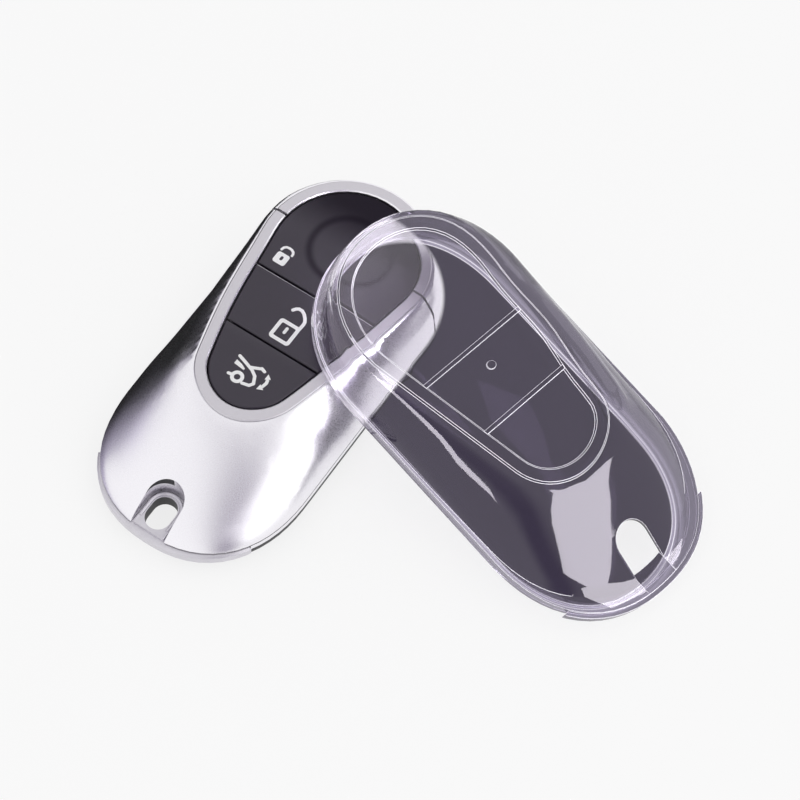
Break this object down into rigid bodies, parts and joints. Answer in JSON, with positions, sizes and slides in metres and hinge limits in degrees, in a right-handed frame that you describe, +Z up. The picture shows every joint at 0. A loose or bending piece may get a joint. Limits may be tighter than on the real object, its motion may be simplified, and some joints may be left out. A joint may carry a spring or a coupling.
{
  "type": "key fob with clear cover",
  "caption": "Satin-silver remote key fob with push buttons and a pull-out spare key, its clear domed cover lying across it.",
  "frame": {"origin": "centre of the fob's flat back, on the table", "axes": "+Z up out of the buttons, +Y to the fob's top end, -Y to its keyring end, +X to the side the cover lies on"},
  "size_m": [0.1019, 0.0814, 0.0271],
  "materials": {
    "satin_silver": "satin silver plating on a light metal body",
    "matte_silver": "fine-grained matte silver",
    "panel_black": "satin black keys",
    "black_plastic": "matte black",
    "head_grey": "matte grey metal",
    "steel": "plain steel",
    "board_green": "green solder mask",
    "mat_silicone": "grey silicone",
    "coil_copper": "wound copper wire",
    "clear_plastic": "clear polished plastic"
  },
  "bodies": {
    "fob": {"rear_shell": "black_plastic", "front_shell": "satin_silver", "top_cap": "satin_silver", "bezel_main": "matte_silver", "bezel_cap": "matte_silver", "latch_spring": "steel", "inner_frame": "black_plastic", "circuit_board": "board_green", "lock_switch": "black_plastic", "unlock_switch": "black_plastic", "boot_switch": "black_plastic", "switch_mat": "mat_silicone", "control_chip": "black_plastic", "crystal": "steel", "antenna_coil": "coil_copper", "coin_cell": "steel", "cell_contact_top": "steel", "cell_contact_bottom": "steel"},
    "lock_key": {"lock_button": "panel_black"},
    "unlock_key": {"unlock_button": "panel_black"},
    "boot_key": {"boot_button": "panel_black"},
    "spare_key": {"key_head": "head_grey", "key_blade": "steel"},
    "latch": {"key_latch": "black_plastic"},
    "cover": {"clear_cover": "clear_plastic"}
  },
  "joints": [
    {"name": "lock_press", "type": "slide", "parent": "fob", "child": "lock_key", "axis": [0, 0, -1], "range_m": [0, 0.0005], "stiffness_N_per_m": 1500, "springref_m": -0.0005},
    {"name": "unlock_press", "type": "slide", "parent": "fob", "child": "unlock_key", "axis": [0, 0, -1], "range_m": [0, 0.0005], "stiffness_N_per_m": 1500, "springref_m": -0.0005},
    {"name": "boot_press", "type": "slide", "parent": "fob", "child": "boot_key", "axis": [0, 0, -1], "range_m": [0, 0.0005], "stiffness_N_per_m": 1500, "springref_m": -0.0005},
    {"name": "spare_key_pull", "type": "slide", "parent": "fob", "child": "spare_key", "axis": [0, -1, 0], "range_m": [0, 0.045]},
    {"name": "latch_slide", "type": "slide", "parent": "fob", "child": "latch", "axis": [-1, 0, 0], "range_m": [0, 0.0012], "stiffness_N_per_m": 300, "springref_m": 0.0022},
    {"name": "cover_lift", "type": "slide", "parent": "fob", "child": "cover", "axis": [0, 0, 1], "range_m": [0, 0.06]}
  ]
}
